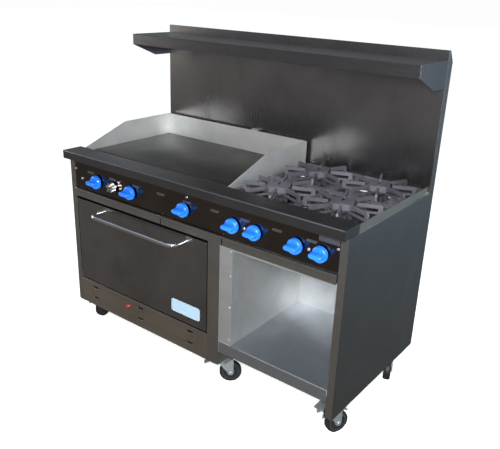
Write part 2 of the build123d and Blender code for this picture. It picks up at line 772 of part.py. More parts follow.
# ---- Oven door -----------------------------------------------------------------------------------
with BuildPart() as oven_door_skin:
    slab(door_left_x, door_right_x, front_y, front_y + door_pan_depth, door_bottom_z, door_top_z)
    slab(
        door_left_x + sheet,
        door_right_x - sheet,
        front_y + sheet,
        front_y + door_pan_depth + 1,
        door_bottom_z + sheet,
        door_top_z - sheet,
        Mode.SUBTRACT,
    )
    rod(
        (door_left_x - 1, front_y + hinge_y_in, hinge_z),
        (door_right_x + 1, front_y + hinge_y_in, hinge_z),
        hinge_pin_r + fit_gap,
        Mode.SUBTRACT,
    )
save(oven_door_skin.part, "oven_door_skin")

with BuildPart() as oven_door_liner:
    liner_x0, liner_x1 = door_left_x + 24, door_right_x - 24
    liner_z0, liner_z1 = hinge_z + 16, door_top_z - 12
    slab(liner_x0, liner_x1, front_y + door_pan_depth, front_y + door_depth, liner_z0, liner_z1)
    slab(
        liner_x0 + sheet,
        liner_x1 - sheet,
        front_y + door_pan_depth - 1,
        front_y + door_depth - sheet,
        liner_z0 + sheet,
        liner_z1 - sheet,
        Mode.SUBTRACT,
    )
    slab(
        door_left_x + sheet,
        door_right_x - sheet,
        front_y + door_pan_depth - sheet,
        front_y + door_pan_depth,
        liner_z0 - 4,
        liner_z0,
    )
    for pin_end, block_end, side in (
        (lug_left_x - 2, door_left_x + 26, 1),
        (lug_right_x + lug_width + 2, door_right_x - 26, -1),
    ):
        rod(
            (pin_end, front_y + hinge_y_in, hinge_z),
            (block_end, front_y + hinge_y_in, hinge_z),
            hinge_pin_r,
        )
        block_x0, block_x1 = sorted((block_end - side * 18, block_end))
        slab(block_x0, block_x1, front_y + 12, front_y + door_pan_depth + 4, hinge_z - 8, hinge_z + 8)
save(oven_door_liner.part, "oven_door_liner")

handle_z = 655.0
handle_x = (-556.0, -18.0)
handle_bend = 42.0
with BuildPart() as door_handle:
    with BuildLine() as handle_route:
        FilletPolyline(
            (handle_x[0], front_y, handle_z),
            (handle_x[0], front_y - handle_standoff, handle_z),
            (handle_x[1], front_y - handle_standoff, handle_z),
            (handle_x[1], front_y, handle_z),
            radius=handle_bend,
        )
    with BuildSketch(Plane((handle_x[0], front_y, handle_z), x_dir=(1, 0, 0), z_dir=(0, -1, 0))) as handle_section:
        Circle(handle_tube_r)
    sweep()
save(door_handle.part, "door_handle")

with BuildPart() as door_badge:
    with BuildSketch(Plane.XZ.offset(-front_y)) as badge_outline:
        with Locations((-8, 336)):
            RectangleRounded(170, 62, 12)
    extrude(amount=1.5)
save(door_badge.part, "door_badge")

# ---- Ignition button -----------------------------------------------------------------------------
with BuildPart() as ignition_button:
    button_plane = Plane((button_x, front_y + 20, button_z), x_dir=(1, 0, 0), z_dir=(0, -1, 0))
    with BuildSketch(button_plane) as button_section:
        Circle(button_r)
    extrude(amount=30)
    fillet(ignition_button.faces().sort_by(Axis.Y)[0].edges(), 3)
save(ignition_button.part, "ignition_button")

# ---- Cabinet: liner sheets with the screwed front flange, and the floor with its hem -------------
liner_top_z = tray_bottom_z - 1.0
with BuildPart() as cabinet_liner:
    flange_y = front_y + 1.0
    hem_bottom_z = cabinet_floor_z - cabinet_hem
    slab(divider_x, cabinet_left_x, flange_y, flange_y + sheet, hem_bottom_z, liner_top_z)
    wall_y0 = flange_y + sheet + seam
    slab(cabinet_left_x - sheet, cabinet_left_x, wall_y0, cabinet_back_y, cabinet_floor_z, liner_top_z)
    slab(cabinet_right_x - sheet, cabinet_right_x, wall_y0, cabinet_back_y, cabinet_floor_z, liner_top_z)
    slab(
        cabinet_left_x - sheet,
        cabinet_right_x,
        cabinet_back_y + seam,
        cabinet_back_y + seam + sheet,
        hem_bottom_z,
        liner_top_z,
    )
    ceiling_x = (cabinet_left_x + seam, cabinet_right_x - sheet - seam)
    slab(*ceiling_x, wall_y0, cabinet_back_y, liner_top_z - sheet, liner_top_z)
    slab(*ceiling_x, flange_y, flange_y + sheet, liner_top_z - 10, liner_top_z)
save(cabinet_liner.part, "cabinet_liner")

with BuildPart() as cabinet_floor:
    slab(
        cabinet_left_x - sheet,
        cabinet_right_x,
        flange_y + sheet + seam,
        cabinet_back_y,
        cabinet_floor_z - sheet,
        cabinet_floor_z,
    )
    slab(divider_x + 4, cabinet_right_x - 1, front_y - 1, flange_y, hem_bottom_z, cabinet_floor_z)
save(cabinet_floor.part, "cabinet_floor")

# ---- Casters -------------------------------------------------------------------------------------
plate_z = body_bottom_z - 4.0
race_z = plate_z - 8.0
crown_top_z = race_z - move_gap
crown_z = crown_top_z - 7.0
kingpin_end_z = crown_z - 7.0
leg_in = wheel_width / 2 + 2.5
leg_out = leg_in + 3.0
ear_u = 40.0
pedal_pin_z = crown_top_z - 11.0
pedal_pin_r = 3.0

with BuildPart() as caster_plates:
    for _, x, y_in, _, _ in casters:
        slab(x - 50, x + 50, front_y + y_in - 45, front_y + y_in + 45, plate_z, body_bottom_z)
        rod((x, front_y + y_in, race_z), (x, front_y + y_in, plate_z + 1), 25)
        rod((x, front_y + y_in, kingpin_end_z), (x, front_y + y_in, race_z + 1), kingpin_r)
        rod((x, front_y + y_in, kingpin_end_z), (x, front_y + y_in, crown_z - move_gap), 10)
save(caster_plates.part, "caster_plates")

for name, x, y_in, yaw, pedal_side in casters:
    stem = Vector(x, front_y + y_in, 0)
    along = Vector(cos(radians(yaw)), sin(radians(yaw)), 0)
    across = Vector(-sin(radians(yaw)), cos(radians(yaw)), 0)
    axle_centre = stem + along * swivel_offset + Vector(0, 0, wheel_r)
    side_plane = Plane(stem, x_dir=along, z_dir=-across)
    with BuildPart() as fork:
        with BuildSketch(Plane(stem + Vector(0, 0, crown_z), x_dir=along, z_dir=(0, 0, 1))) as crown:
            Rectangle(68, 2 * leg_out)
            Circle(kingpin_r + fit_gap, mode=Mode.SUBTRACT)
        extrude(amount=crown_top_z - crown_z)
        for leg_side in (-1, 1):
            with BuildSketch(side_plane.offset(leg_side * (leg_in + leg_out) / 2)) as leg:
                with BuildLine() as leg_outline:
                    Polyline(
                        (-48, crown_top_z),
                        (48, crown_top_z),
                        (48, crown_z - 12),
                        (swivel_offset + 13, wheel_r),
                        (swivel_offset - 13, wheel_r),
                        (-18, crown_z - 10),
                        (-48, crown_z - 12),
                        close=True,
                    )
                make_face()
                with Locations((swivel_offset, wheel_r)):
                    Circle(13)
                    Circle(axle_r + fit_gap, mode=Mode.SUBTRACT)
                if pedal_side:
                    with Locations((pedal_side * ear_u, pedal_pin_z)):
                        Circle(pedal_pin_r + fit_gap, mode=Mode.SUBTRACT)
            extrude(amount=(leg_out - leg_in) / 2, both=True)
        with BuildSketch(Plane(axle_centre, x_dir=along, z_dir=across)) as axle:
            Circle(axle_r)
        extrude(amount=leg_out + 3, both=True)
    save(fork.part, f"caster_fork_{name}")

    with BuildPart() as wheel:
        with BuildSketch(Plane(axle_centre, x_dir=along, z_dir=across)) as tread:
            Circle(wheel_r)
        extrude(amount=wheel_width / 2, both=True)
        fillet(wheel.edges(), 5)
        with BuildSketch(Plane(axle_centre, x_dir=along, z_dir=across)) as hub:
            Circle(14)
        extrude(amount=wheel_width / 2 + 1.5, both=True)
        with BuildSketch(Plane(axle_centre, x_dir=along, z_dir=across)) as axle_bore:
            Circle(axle_r + fit_gap)
        extrude(amount=wheel_width, both=True, mode=Mode.SUBTRACT)
    save(wheel.part, f"caster_wheel_{name}")

    if pedal_side:
        with BuildPart() as brake:
            with BuildSketch(side_plane) as pedal_profile:
                with BuildLine() as pedal_outline:
                    Polyline(
                        (pedal_side * 37, pedal_pin_z + 2),
                        (pedal_side * 60, pedal_pin_z - 1),
                        (pedal_side * 84, pedal_pin_z - 12),
                        (pedal_side * 83, pedal_pin_z - 15),
                        (pedal_side * 59, pedal_pin_z - 4),
                        (pedal_side * 37, pedal_pin_z - 1),
                        close=True,
                    )
                make_face()
            extrude(amount=13, both=True)
            with BuildSketch(side_plane) as pedal_pin:
                with Locations((pedal_side * ear_u, pedal_pin_z)):
                    Circle(pedal_pin_r)
            extrude(amount=leg_out + 1, both=True)
        save(brake.part, f"caster_brake_{name}")
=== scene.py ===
"""Looks of a commercial gas range.

A griddle stands over an oven on the left, and open burners over a cabinet on the right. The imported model
gives every place and size. This script dresses its pieces in their real finishes, puts turned wheels and
moulded knobs in place of the plain ones, and sets up a soft studio with a camera.
"""

import json
import logging
import math
from dataclasses import dataclass
from enum import Enum
from typing import Iterable, Sequence, Union

import bmesh
import bpy
from mathutils import Matrix, Vector

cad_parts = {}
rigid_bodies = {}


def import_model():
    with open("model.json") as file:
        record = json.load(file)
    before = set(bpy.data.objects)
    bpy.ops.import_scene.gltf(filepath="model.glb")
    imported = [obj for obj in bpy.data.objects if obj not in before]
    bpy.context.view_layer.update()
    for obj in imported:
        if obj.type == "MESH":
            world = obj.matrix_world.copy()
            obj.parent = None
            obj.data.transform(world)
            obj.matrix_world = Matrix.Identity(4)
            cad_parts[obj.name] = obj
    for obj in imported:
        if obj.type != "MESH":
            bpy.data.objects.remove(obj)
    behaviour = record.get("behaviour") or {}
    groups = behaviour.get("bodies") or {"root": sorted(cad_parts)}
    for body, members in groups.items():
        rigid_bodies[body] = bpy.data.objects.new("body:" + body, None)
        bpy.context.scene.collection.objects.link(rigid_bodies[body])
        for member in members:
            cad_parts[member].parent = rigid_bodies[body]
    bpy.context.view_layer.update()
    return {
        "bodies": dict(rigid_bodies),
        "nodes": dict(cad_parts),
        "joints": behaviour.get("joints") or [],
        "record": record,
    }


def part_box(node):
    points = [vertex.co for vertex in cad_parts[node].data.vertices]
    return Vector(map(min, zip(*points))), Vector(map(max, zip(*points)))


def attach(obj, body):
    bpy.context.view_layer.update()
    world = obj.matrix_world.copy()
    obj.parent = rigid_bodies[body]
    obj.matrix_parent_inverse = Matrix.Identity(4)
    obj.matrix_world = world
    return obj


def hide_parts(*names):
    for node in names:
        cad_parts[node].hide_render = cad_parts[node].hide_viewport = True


log = logging.getLogger("range")
MM = 0.001
# How far a folded sheet's edges are broken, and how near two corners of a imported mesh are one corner.
SHEET_EDGE = 0.8 * MM
WELD_GAP = 0.02 * MM
# Edges that turn by more than these angles are rounded, or stay sharp in a moulding.
ROUNDED_ANGLE = math.radians(40)
CREASE_ANGLE = math.radians(35)
Setting = Union[float, int, str, bool, tuple, bpy.types.NodeSocket]


# ---- Colour and node helpers ---------------------------------------------------------------------
def linear(code: str) -> tuple[float, float, float, float]:
    """Turns an sRGB hex colour into linear RGBA.

    Args:
        code: Six hex digits with a leading hash.

    Returns:
        Linear red, green and blue, and an alpha of one.
    """
    channels = [int(code[i : i + 2], 16) / 255 for i in (1, 3, 5)]
    bent = [c / 12.92 if c <= 0.04045 else ((c + 0.055) / 1.055) ** 2.4 for c in channels]
    return (bent[0], bent[1], bent[2], 1.0)


def add_node(tree: bpy.types.NodeTree, kind: str, **settings: Setting) -> bpy.types.Node:
    """Adds one shader node, sets it up and links it.

    Args:
        tree: The node tree to add to.
        kind: The node's Blender type name without its ShaderNode prefix.
        **settings: Socket names with underscores for spaces, socket numbers as in_0, or node properties. A
            value that is a socket is linked instead of set.

    Returns:
        The new node.
    """
    node = tree.nodes.new("ShaderNode" + kind)
    for key, value in settings.items():
        if hasattr(node, key) and not key.startswith("in_"):
            setattr(node, key, value)
            continue
        socket = node.inputs[int(key[3:])] if key.startswith("in_") else node.inputs[key.replace("_", " ")]
        if isinstance(value, bpy.types.NodeSocket):
            tree.links.new(value, socket)
        else:
            socket.default_value = value
    return node


class Grain(Enum):
    """The way a sheet was rolled or polished, as a stretch of the pattern along each axis."""

    ALONG_X = (0.02, 1.0, 1.0)
    ALONG_Y = (1.0, 0.02, 1.0)
    ALONG_Z = (1.0, 1.0, 0.02)
    NONE = (1.0, 1.0, 1.0)


@dataclass(frozen=True)
class Finish:
    """A surface finish: what the piece is made of and how its surface was made."""

    name: str
    light: str
    dark: str
    metallic: float = 1.0
    roughness: float = 0.35
    spread: float = 0.1
    grain: Grain = Grain.NONE
    grain_mm: float = 3.0
    cloud_mm: float = 220.0
    bump: float = 0.05
    speck_mm: float = 0.0
    speck: str = "#ffffff"
    coat: float = 0.0
    glow: float = 0.0

    def build(self) -> bpy.types.Material:
        """Makes the finish as a procedural material, or finds it if it was made before.

        Returns:
            The material.
        """
        found = bpy.data.materials.get(self.name)
        if found:
            return found
        material = bpy.data.materials.new(self.name)
        material.use_nodes = True
        tree = material.node_tree
        tree.nodes.clear()
        place = add_node(tree, "TexCoord").outputs["Object"]
        stretched = add_node(tree, "Mapping", Vector=place, Scale=self.grain.value).outputs[0]
        # One pattern unit is a metre, so a feature of n millimetres needs a scale of 1000 / n.
        lines = add_node(
            tree, "TexNoise", Vector=stretched, Scale=1000 / self.grain_mm, Detail=3.0, Roughness=0.6
        ).outputs[0]
        clouds = add_node(
            tree,
            "TexNoise",
            Vector=place,
            Scale=1000 / self.cloud_mm,
            Detail=5.0,
            Roughness=0.55,
            Distortion=0.6,
        ).outputs[0]
        blend = add_node(tree, "MapRange", Value=clouds, From_Min=0.3, From_Max=0.7).outputs[0]
        colour = add_node(
            tree, "Mix", data_type="RGBA", in_0=blend, in_6=linear(self.light), in_7=linear(self.dark)
        ).outputs[2]
        if self.speck_mm:
            flakes = add_node(tree, "TexVoronoi", Vector=place, Scale=1000 / self.speck_mm).outputs["Color"]
            flake = add_node(tree, "SeparateColor", Color=flakes).outputs[0]
            share = add_node(
                tree, "MapRange", Value=flake, From_Min=0.3, From_Max=1.0, To_Max=0.5
            ).outputs[0]
            colour = add_node(
                tree, "Mix", data_type="RGBA", in_0=share, in_6=colour, in_7=linear(self.speck)
            ).outputs[2]
        wear = add_node(tree, "Math", operation="ADD", in_0=lines, in_1=clouds).outputs[0]
        rough = add_node(
            tree,
            "MapRange",
            Value=wear,
            From_Min=0.7,
            From_Max=1.3,
            To_Min=max(0.04, self.roughness - self.spread),
            To_Max=min(1.0, self.roughness + self.spread),
        ).outputs[0]
        height = add_node(tree, "Bump", Strength=self.bump, Distance=0.001, Height=lines).outputs[0]
        shader = add_node(
            tree,
            "BsdfPrincipled",
            Base_Color=colour,
            Metallic=self.metallic,
            Roughness=rough,
            Normal=height,
        )
        shader.inputs["Coat Weight"].default_value = self.coat
        shader.inputs["Emission Color"].default_value = linear(self.light)
        shader.inputs["Emission Strength"].default_value = self.glow
        add_node(tree, "OutputMaterial", Surface=shader.outputs[0])
        return material


# The finishes of this range. Bare stainless is as bright as its surroundings, so most sheets look dark
# grey here; the grain draws their soft streaks. Real polishing lines are finer and would only sparkle.
BRUSHED_STAINLESS = Finish(
    "brushed_stainless_sheet",
    "#b9b7b2",
    "#a09e99",
    roughness=0.36,
    spread=0.05,
    grain=Grain.ALONG_X,
    bump=0.03,
)
# The landing rail and the shelf are a finer, darker satin sheet; their darker base colour is painted
# shade, which keeps the rail's top dark under the overhead light.
SHADED_SATIN_SHEET = Finish(
    "satin_stainless_painted_shade",
    "#858588",
    "#727275",
    roughness=0.3,
    spread=0.04,
    grain=Grain.ALONG_X,
    bump=0.02,
)
# The side panels are brushed upright, with faint streaks running down. Their darker, cool grey base
# colour is painted shade and a painted reflection of the blue light from the right.
BLUE_SHADED_UPRIGHT_SHEET = Finish(
    "upright_stainless_painted_blue_shade",
    "#8e9297",
    "#7b7f83",
    roughness=0.33,
    spread=0.05,
    grain=Grain.ALONG_Z,
    bump=0.03,
)
# The door and backguard are a smoother sheet, with long soft reflections and cloudy wipe marks.
BRIGHT_ROLLED = Finish(
    "bright_rolled_stainless",
    "#a3a1a1",
    "#8b8989",
    roughness=0.26,
    spread=0.02,
    grain=Grain.ALONG_Z,
    bump=0.0,
)
# The control panel is the smoothest and darkest: a mirror that picks up the knobs. Its dark, warm base
# colour is painted shade and a painted reflection of a dim, warm room.
SHADED_MIRROR_SHEET = Finish(
    "mirror_stainless_painted_shade",
    "#6e665f",
    "#5c5550",
    roughness=0.12,
    spread=0.04,
    grain=Grain.ALONG_X,
    bump=0.01,
)
# The kick panel lies under the oven, whose heat leaves it a little straw-coloured.
HEAT_TINTED = Finish(
    "heat_tinted_stainless",
    "#cdc4b9",
    "#b5aca1",
    roughness=0.3,
    spread=0.05,
    grain=Grain.ALONG_X,
    bump=0.03,
)
# The cabinet's liner and the splash guard are left as rolled: matt and even. Their pale base colour is
# partly a painted highlight that stands in for the light on the splash and the cabinet's walls.
MILL_FINISH_PAINTED_LIGHT = Finish(
    "mill_sheet_painted_light", "#dfe0e0", "#cbccca", roughness=0.58, spread=0.06, grain=Grain.ALONG_X, bump=0.02
)
# The cabinet's floor is darker, bluer and glossier than its walls.
FLOOR_SHEET = Finish(
    "rolled_floor_sheet", "#c6cbd2", "#adb3bb", roughness=0.42, spread=0.05, grain=Grain.ALONG_Y, bump=0.02
)
# Zinc crystals give the rear panel its large pale flakes.
GALVANISED = Finish(
    "galvanised_sheet",
    "#d2d6d9",
    "#b9bdc1",
    roughness=0.5,
    spread=0.06,
    speck_mm=14.0,
    speck="#e6e9ec",
    bump=0.02,
)
# The griddle is ground steel: dark, with broad clouds and streaks along it.
GROUND_PLATE = Finish(
    "ground_griddle_plate",
    "#5f5d5e",
    "#393735",
    roughness=0.36,
    spread=0.06,
    grain=Grain.ALONG_X,
    cloud_mm=300.0,
)
# Bare sand castings: a matt, grainy grey that a flame has dulled.
SAND_CAST_IRON = Finish(
    "sand_cast_iron", "#67646d", "#3c3a40", metallic=0.35, roughness=0.55, grain_mm=4.0, bump=0.35
)
BURNT_IRON = Finish(
    "burnt_cast_iron",
    "#3a383d",
    "#222024",
    metallic=0.2,
    roughness=0.72,
    grain_mm=3.0,
    bump=0.4,
)
# Zinc plating is pale, cool and half matt, with a slight mottle.
BRIGHT_ZINC = Finish(
    "bright_zinc_plate",
    "#eef3f6",
    "#dce3e8",
    roughness=0.5,
    speck_mm=9.0,
    speck="#f0f4f6",
)
# The handle and the dial are clear mirrors.
CHROME = Finish("polished_chrome", "#e4e4e4", "#d0d0d0", roughness=0.08, spread=0.03, bump=0.0)
# Inside the oven, glossy blue-black enamel with pale flecks.
ENAMEL = Finish(
    "porcelain_enamel",
    "#20242e",
    "#171a22",
    metallic=0.0,
    roughness=0.2,
    speck_mm=5.0,
    speck="#4c5160",
    coat=0.4,
)
# Dull black iron for the pipe, and warm brass for the valves on it.
BLACK_PIPE = Finish("black_iron_pipe", "#2b2b2b", "#1a1a1a", metallic=0.6, roughness=0.55)
MACHINED_BRASS = Finish("machined_brass", "#b8954f", "#94753a", roughness=0.3)
# A slightly rough black paint, so that the frame stays in the shade.
FRAME_PAINT = Finish("black_frame_paint", "#2a2a2a", "#1e1e1e", metallic=0.0, roughness=0.5, bump=0.2)
# Glossy moulded plastic; a thin clear layer gives the sharp window-like glints on its edges.
BLUE_NYLON = Finish(
    "moulded_blue_nylon",
    "#1f74ea",
    "#1866d8",
    metallic=0.0,
    roughness=0.28,
    spread=0.05,
    grain_mm=1.5,
    coat=0.3,
)
RED_PLASTIC = Finish("moulded_red_plastic", "#b3271c", "#951c14", metallic=0.0, roughness=0.25, coat=0.4)
# The label plates are a flat, silky grey.
ANODISED = Finish("anodised_aluminium", "#a5a6a8", "#8f9092", roughness=0.4, grain=Grain.ALONG_X)
BADGE_ENAMEL = Finish("pale_badge_enamel", "#9db4c6", "#8fa7ba", metallic=0.0, roughness=0.3, coat=0.3)
# The wheels: a soft black tread round a dark grey hub.
POLYURETHANE = Finish("polyurethane_tread", "#1b1c1e", "#111213", metallic=0.0, roughness=0.5, bump=0.2)
GREY_NYLON = Finish("grey_nylon_hub", "#4a4c4f", "#3a3b3d", metallic=0.0, roughness=0.45)
# The floor glows, so that it stays as pale as the background.
PALE_FLOOR = Finish("pale_floor", "#f6f6f5", "#f2f2f1", metallic=0.0, roughness=0.8, bump=0.0, glow=0.7)


# ---- Mesh bench ----------------------------------------------------------------------------------
class Bench:
    """Gathers shapes into one mesh and turns them into a finished piece."""

    def __init__(self) -> None:
        """Starts with an empty mesh."""
        self.mesh = bmesh.new()

    def loft(self, rings: Sequence[Sequence[Vector]]) -> None:
        """Skins a row of rings that have the same number of points, and caps both ends.

        Args:
            rings: The rings, from one end to the other.
        """
        rows = [[self.mesh.verts.new(point) for point in ring] for ring in rings]
        count = len(rows[0])
        for low, high in zip(rows, rows[1:]):
            for i in range(count):
                j = (i + 1) % count
                self.mesh.faces.new((low[i], low[j], high[j], high[i]))
        self.mesh.faces.new(list(reversed(rows[0])))
        self.mesh.faces.new(rows[-1])

    def turn(self, place: Matrix, profile: Iterable[tuple[float, float]], steps: int = 48) -> None:
        """Turns a profile about a place's own Z axis.

        Args:
            place: Where the axis is.
            profile: Radius and height pairs, from one end to the other.
            steps: How many sides the round has.
        """
        rings = []
        for radius, height in profile:
            turns = [2 * math.pi * i / steps for i in range(steps)]
            rings.append(
                [place @ Vector((radius * math.cos(a), radius * math.sin(a), height)) for a in turns]
            )
        self.loft(rings)

    def piece(
        self, name: str, finish: Finish, body: str, slot: str, replaces: Sequence[str] = ()
    ) -> bpy.types.Object:
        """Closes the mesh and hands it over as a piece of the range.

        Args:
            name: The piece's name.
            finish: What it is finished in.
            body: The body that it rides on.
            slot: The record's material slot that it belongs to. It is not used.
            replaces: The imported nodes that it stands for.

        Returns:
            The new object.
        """
        bmesh.ops.recalc_face_normals(self.mesh, faces=self.mesh.faces)
        data = bpy.data.meshes.new(name)
        self.mesh.to_mesh(data)
        self.mesh.free()
        made = bpy.data.objects.new(name, data)
        bpy.context.scene.collection.objects.link(made)
        data.materials.append(finish.build())
        data.shade_smooth()
        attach(made, body)
        if replaces:
            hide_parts(*replaces)
        return made


def break_edges(piece: bpy.types.Object, width: float) -> None:
    """Rounds a piece's sharp edges a little and shades the rest smooth.

    Args:
        piece: The object.
        width: The round's width in metres.
    """
    piece.data.shade_smooth()
    weld = piece.modifiers.new("weld", "WELD")
    weld.merge_threshold = WELD_GAP
    bevel = piece.modifiers.new("broken_edges", "BEVEL")
    bevel.width = width
    bevel.segments = 2
    bevel.limit_method = "ANGLE"
    bevel.angle_limit = ROUNDED_ANGLE
    bevel.harden_normals = False
    normals = piece.modifiers.new("normals", "WEIGHTED_NORMAL")
    normals.keep_sharp = False


def smooth_by_angle(piece: bpy.types.Object, crease: float) -> None:
    """Marks the edges sharper than an angle, so that the rest shades smooth.

    Args:
        piece: The object.
        crease: The angle in radians.
    """
    data = piece.data
    data.shade_smooth()
    mesh = bmesh.new()
    mesh.from_mesh(data)
    for edge in mesh.edges:
        if len(edge.link_faces) == 2:
            edge.smooth = edge.calc_face_angle(0.0) < crease
    mesh.to_mesh(data)
    mesh.free()


def dress(frame: dict, nodes: Sequence[str], finish: Finish, bevel: float = 0.0) -> None:
    """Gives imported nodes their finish.

    Args:
        frame: The loaded frame.
        nodes: Node names.
        finish: What they are finished in.
        bevel: How far their edges are broken, in metres, or nought to leave them as they are.
    """
    for name in nodes:
        node = frame["nodes"][name]
        node.data.materials.clear()
        node.data.materials.append(finish.build())
        if bevel:
            break_edges(node, bevel)


def joint(frame: dict, name: str) -> dict:
    """Finds a joint by its name.

    Args:
        frame: The loaded frame.
        name: The joint's name.

    Returns:
        The joint's entry.
    """
    return next(j for j in frame["joints"] if j["name"] == name)


def facing(place: Vector, axis: Vector, across: Vector) -> Matrix:
    """A frame at a place with its Z along an axis and its X as near as can be to another direction.

    Args:
        place: The origin.
        axis: The new Z direction.
        across: Roughly the new X direction.

    Returns:
        The 4 by 4 matrix.
    """
    z = axis.normalized()
    y = z.cross(across).normalized()
    x = y.cross(z)
    turn = Matrix((x, y, z)).transposed().to_4x4()
    return Matrix.Translation(place) @ turn


# ---- Sub-assemblies ------------------------------------------------------------------------------
@dataclass
class SheetBody:
    """The stainless skins, posts, shelf and backguard."""

    edge: float = SHEET_EDGE

    def build(self, frame: dict) -> None:
        """Dresses the skins.

        Args:
            frame: The loaded frame.
        """
        dress(frame, ["left_side_panel", "right_side_panel"], BLUE_SHADED_UPRIGHT_SHEET, self.edge)
        brushed = ["front_frame", "crumb_tray", "grease_drawer", "burner_tray"]
        dress(frame, brushed, BRUSHED_STAINLESS, self.edge)
        dress(frame, ["kick_panel"], HEAT_TINTED, self.edge)
        dress(frame, ["backguard"], BRIGHT_ROLLED, self.edge)
        dress(frame, ["front_rail", "high_shelf"], SHADED_SATIN_SHEET, self.edge)
        dress(frame, ["control_panel"], SHADED_MIRROR_SHEET, self.edge)
        dress(frame, ["rear_panel"], GALVANISED, self.edge)
        dress(frame, ["base_frame"], FRAME_PAINT, self.edge)


@dataclass
class Cabinet:
    """The open cabinet's liner and floor."""

    edge: float = SHEET_EDGE

    def build(self, frame: dict) -> None:
        """Dresses the liner and the floor.

        Args:
            frame: The loaded frame.
        """
        dress(frame, ["cabinet_liner"], MILL_FINISH_PAINTED_LIGHT, self.edge)
        dress(frame, ["cabinet_floor"], FLOOR_SHEET, self.edge)


@dataclass
class Oven:
    """The oven's liner, rack, door, handle, badge and ignition button."""

    edge: float = SHEET_EDGE
    badge_edge: float = 0.3 * MM

    def build(self, frame: dict) -> None:
        """Dresses the oven.

        Args:
            frame: The loaded frame.
        """
        dress(frame, ["oven_liner", "oven_door_liner"], ENAMEL, self.edge)
        dress(frame, ["oven_rack"], BRIGHT_ZINC)
        dress(frame, ["oven_door_skin"], BRIGHT_ROLLED, self.edge)
        dress(frame, ["door_handle"], CHROME)
        dress(frame, ["door_badge"], BADGE_ENAMEL, self.badge_edge)
        dress(frame, ["ignition_button"], RED_PLASTIC)


@dataclass
class Cooktop:
    """The griddle with its splash guard, and the burner well with its burners and grates."""

    edge: float = SHEET_EDGE
    plate_edge: float = 1.0 * MM
    head_edge: float = 1.5 * MM
    grate_edge: float = 2.0 * MM

    def build(self, frame: dict) -> None:
        """Dresses the cooking surfaces.

        Args:
            frame: The loaded frame.
        """
        dress(frame, ["griddle_plate"], GROUND_PLATE, self.plate_edge)
        dress(frame, ["griddle_splash"], MILL_FINISH_PAINTED_LIGHT, self.edge)
        dress(frame, ["burner_well"], BRUSHED_STAINLESS, self.edge)
        dress(frame, ["burner_heads"], BURNT_IRON, self.head_edge)
        grates = [name for name in frame["nodes"] if name.startswith("grate_")]
        dress(frame, grates, SAND_CAST_IRON, self.grate_edge)


# The skirt's outline: how far inside its radius and how high over its back, in millimetres.
SKIRT_OUTLINE = ((1.5, 0.0), (0.0, 1.0), (0.5, 12.0), (2.5, 16.0), (7.0, 18.5))
# Where the wing is cut for its rings, from nought at the skirt to one at the tip. They lie closest where it
# rounds off.
WING_CUTS = (0.0, 0.3, 0.6, 0.82, 0.93, 0.98, 1.0)


@dataclass
class Knob:
    """A moulded control knob: a round skirt with a fat wing across it."""

    body: str
    skirt_r: float = 31.5 * MM
    reach: float = 46 * MM
    wing_half_length: float = 30 * MM
    wing_half_width: float = 12 * MM
    wing_foot: float = 12 * MM
    wing_points: int = 40
    wing_squareness: float = 0.62
    back_hollow: tuple[float, float] = (4.2 * MM, 0.5 * MM)
    skirt_crown: tuple[float, float] = (6.0 * MM, 19.0 * MM)
    stem_r: float = 4.0 * MM
    stem_start: float = 0.6 * MM
    stem_sides: int = 24

    def build(self, frame: dict) -> None:
        """Moulds the knob in place of the plain one.

        Args:
            frame: The loaded frame.
        """
        low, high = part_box(self.body)
        pivot = Vector(joint(frame, self.body + "_turn")["pos_m"])
        back = low.y + self.reach
        place = facing(Vector((pivot.x, back, pivot.z)), Vector((0, -1, 0)), Vector((1, 0, 0)))
        bench = Bench()
        r = min(self.skirt_r, (high.x - low.x) / 2)
        outline = [(r - inset * MM, height * MM) for inset, height in SKIRT_OUTLINE]
        bench.turn(place, [self.back_hollow, *outline, self.skirt_crown])
        bench.loft([self.wing(place, share) for share in WING_CUTS])
        stem = [(self.stem_r, self.stem_start), (self.stem_r, -(high.y - back))]
        bench.turn(place, stem, self.stem_sides)
        made = bench.piece(self.body + "_moulding", BLUE_NYLON, self.body, "blue_plastic", [self.body])
        smooth_by_angle(made, CREASE_ANGLE)
        log.info("%s moulded", self.body)

    def wing(self, place: Matrix, share: float) -> list[Vector]:
        """One cross-section of the wing.

        Args:
            place: The knob's frame.
            share: Nought at the skirt and one at the tip.

        Returns:
            The ring's points.
        """
        # The last fifth of the wing rounds off; all the way up it tapers a little, more across than along.
        round_off = math.sqrt(max(0.0, 1 - max(0.0, (share - 0.8) / 0.2) ** 2.5))
        a = self.wing_half_length * (1 - 0.12 * share) * (0.86 + 0.14 * round_off)
        b = self.wing_half_width * (1 - 0.22 * share) * (0.7 + 0.3 * round_off)
        height = self.wing_foot + (self.reach - self.wing_foot) * share
        ring = []
        for i in range(self.wing_points):
            t = 2 * math.pi * i / self.wing_points
            c, s = math.cos(t), math.sin(t)
            x = a * math.copysign(abs(c) ** self.wing_squareness, c)
            y = b * math.copysign(abs(s) ** self.wing_squareness, s)
            ring.append(place @ Vector((x, y, height)))
        return ring


@dataclass
class Controls:
    """Knobs, the oven's dial, label plates, screws, and the gas pipes and valves behind them."""

    dial_edge: float = 1.0 * MM
    label_edge: float = 0.3 * MM

    def build(self, frame: dict) -> None:
        """Dresses the controls.

        Args:
            frame: The loaded frame.
        """
        for body in frame["bodies"]:
            if body.startswith("knob_"):
                Knob(body).build(frame)
        dress(frame, ["oven_dial"], CHROME, self.dial_edge)
        dress(frame, ["name_plates"], ANODISED, self.label_edge)
        dress(frame, ["screws"], BRIGHT_ZINC)
        dress(frame, ["gas_manifold"], BLACK_PIPE)
        dress(frame, ["gas_controls"], MACHINED_BRASS)
        dress(frame, ["pipe_burners"], BURNT_IRON)


